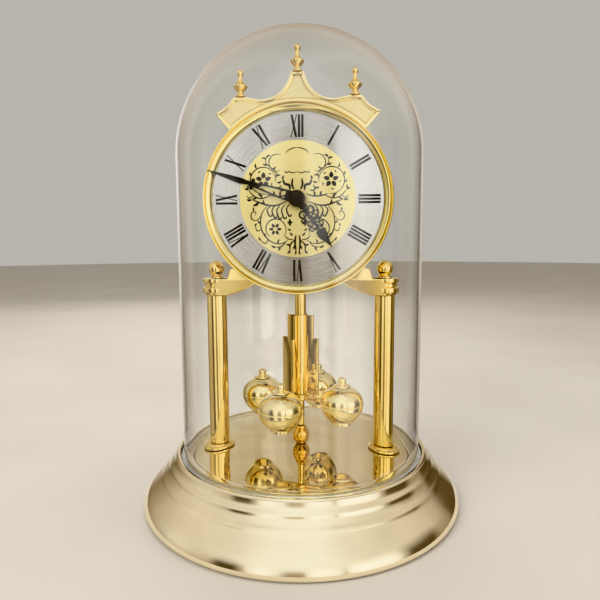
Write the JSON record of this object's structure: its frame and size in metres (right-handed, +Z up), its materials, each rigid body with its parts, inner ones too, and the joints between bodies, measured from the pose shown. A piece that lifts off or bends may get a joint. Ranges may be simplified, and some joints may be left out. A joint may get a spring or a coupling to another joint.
{
  "type": "anniversary clock",
  "caption": "Quartz anniversary clock under a lift-off glass dome: turned gold base, columns, round dial with crest, and a slowly turning ball pendulum.",
  "frame": {"origin": "centre of the base's underside, on the surface that the clock stands on", "axes": "+Z up through the dome's top, -Y out of the dial's face, +X to the dial's three o'clock side"},
  "size_m": [0.2, 0.2, 0.2885],
  "materials": {
    "champagne_gold": "polished pale champagne-gold plate",
    "mirror_gold": "mirror-polished champagne-gold plate",
    "gold": "polished yellow-gold plate",
    "pale_gold": "polished pale-gold plate",
    "satin_gold": "satin gold plate with a polished edge",
    "silver_dial": "vertically brushed silver",
    "gold_dial": "fine brushed gold",
    "black_hands": "semi-gloss black",
    "glass": "clear polished glass",
    "felt": "wool felt",
    "steel": "machined",
    "rubber": "matt",
    "black_plastic": "fine moulded texture",
    "white_plastic": "moulded",
    "copper": "enamelled winding wire",
    "circuit_board": "lacquered",
    "battery_steel": "printed metal sleeve with no text"
  },
  "bodies": {
    "root": {"felt_ring": "felt", "bottom_cover": "black_plastic", "cover_screw_1": "steel", "cover_screw_2": "steel", "cover_screw_3": "steel", "base_shell": "champagne_gold", "platform_plate": "mirror_gold", "dome_gasket": "rubber", "guide_cup": "gold", "cup_screw": "steel", "column_foot_left": "gold", "column_tube_left": "gold", "column_rod_left": "steel", "column_nut_left": "steel", "column_ball_left": "gold", "column_foot_right": "gold", "column_tube_right": "gold", "column_rod_right": "steel", "column_nut_right": "steel", "column_ball_right": "gold", "bracket_left": "gold", "bracket_right": "gold", "case_ring": "gold", "back_ring": "gold", "dial_plate": "silver_dial", "dial_centre": "gold_dial", "bezel": "gold", "crest": "satin_gold", "crest_finial_left": "gold", "crest_finial_centre": "gold", "crest_finial_right": "gold", "movement_case": "black_plastic", "movement_cover": "black_plastic", "circuit_board": "circuit_board", "motor_coil": "copper", "drive_housing": "black_plastic", "drive_bush": "white_plastic", "drive_coil": "copper"},
    "dome": {"glass_dome": "glass"},
    "minute_arbor": {"centre_arbor": "steel", "minute_hand": "black_hands", "hand_nut": "black_hands"},
    "hour_pipe": {"hour_wheel": "steel", "hour_hand": "black_hands"},
    "setting_arbor": {"setting_arbor": "black_plastic"},
    "pendulum": {"pendulum_rod": "gold", "pendulum_spider": "gold", "pendulum_fins": "gold", "pendulum_tube": "gold", "drive_magnet": "steel", "ball_1": "pale_gold", "ball_2": "pale_gold", "ball_3": "pale_gold", "ball_4": "pale_gold", "ball_finial_1": "pale_gold", "ball_finial_2": "pale_gold", "ball_finial_3": "pale_gold", "ball_finial_4": "pale_gold"},
    "battery": {"battery": "battery_steel"}
  },
  "joints": [
    {"name": "minute_hand_turn", "type": "hinge", "parent": "root", "child": "minute_arbor", "pos_m": [0, 0, 0.1871], "axis": [0, 1, 0], "continuous": true},
    {"name": "hour_hand_turn", "type": "hinge", "parent": "root", "child": "hour_pipe", "pos_m": [0, 0, 0.1871], "axis": [0, 1, 0], "continuous": true},
    {"name": "setting_turn", "type": "hinge", "parent": "root", "child": "setting_arbor", "pos_m": [0, 0, 0.1991], "axis": [0, 1, 0], "continuous": true},
    {"name": "pendulum_turn", "type": "hinge", "parent": "root", "child": "pendulum", "pos_m": [0, 0, 0.0623], "axis": [0, 0, 1], "range_deg": [-135, 135]},
    {"name": "dome_lift", "type": "slide", "parent": "root", "child": "dome", "axis": [0, 0, 1], "range_m": [0, 0.26]},
    {"name": "battery_out", "type": "slide", "parent": "root", "child": "battery", "axis": [0, 1, 0], "range_m": [0, 0.045]}
  ],
  "couplings": [
    {"joint": "hour_hand_turn", "follows": "minute_hand_turn", "ratio": 0.083333},
    {"joint": "setting_turn", "follows": "minute_hand_turn", "ratio": -0.33333}
  ]
}
